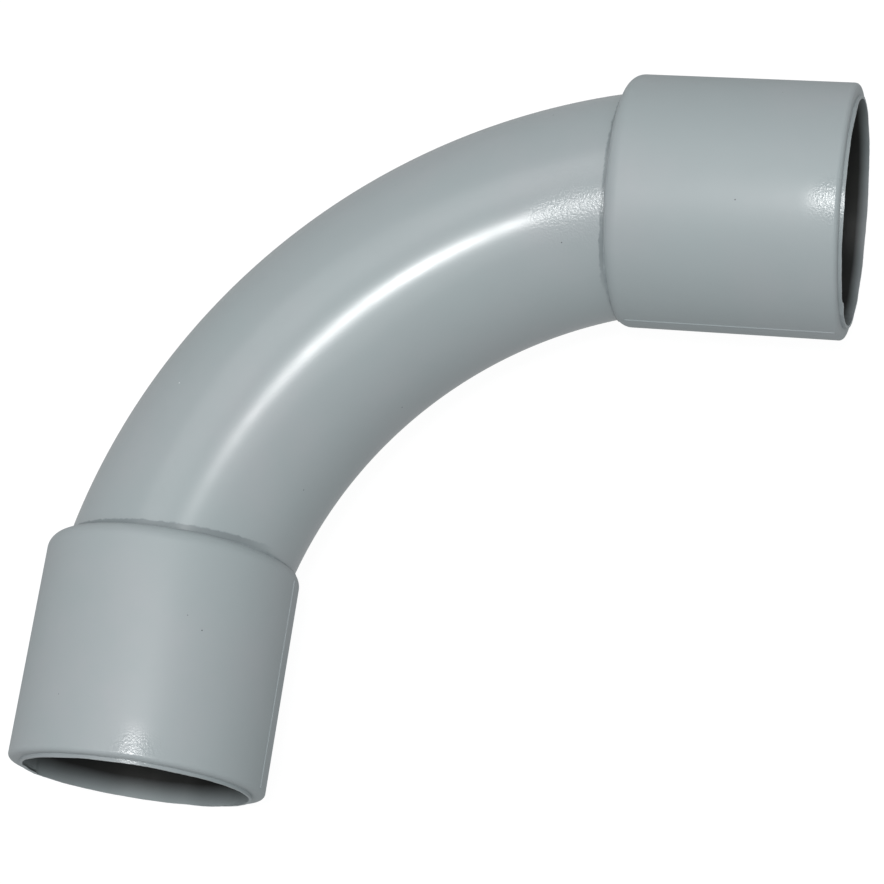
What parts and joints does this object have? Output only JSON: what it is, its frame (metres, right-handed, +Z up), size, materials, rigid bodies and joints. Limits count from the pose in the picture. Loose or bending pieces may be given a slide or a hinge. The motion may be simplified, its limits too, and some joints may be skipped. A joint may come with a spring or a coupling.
{
  "type": "conduit elbow",
  "caption": "Right-angle sweep elbow for rigid PVC electrical conduit: a bent grey tube with a wider cemented sleeve socket at each end.",
  "frame": {"origin": "on the surface the elbow lies on, under the middle of its footprint", "axes": "+Z up, square to the level plane of the bend; the front mouth faces -Y and the right mouth faces +X"},
  "size_m": [0.1718, 0.1718, 0.057],
  "materials": {
    "tube_pvc": "satin grey rigid PVC, smooth extruded skin",
    "sleeve_pvc": "satin grey rigid PVC, moulded",
    "solvent_cement": "dried solvent cement, dull grey"
  },
  "bodies": {
    "root": {"bend_tube": "tube_pvc", "socket_front": "sleeve_pvc", "socket_right": "sleeve_pvc", "cement_front": "solvent_cement", "cement_right": "solvent_cement"}
  },
  "joints": []
}
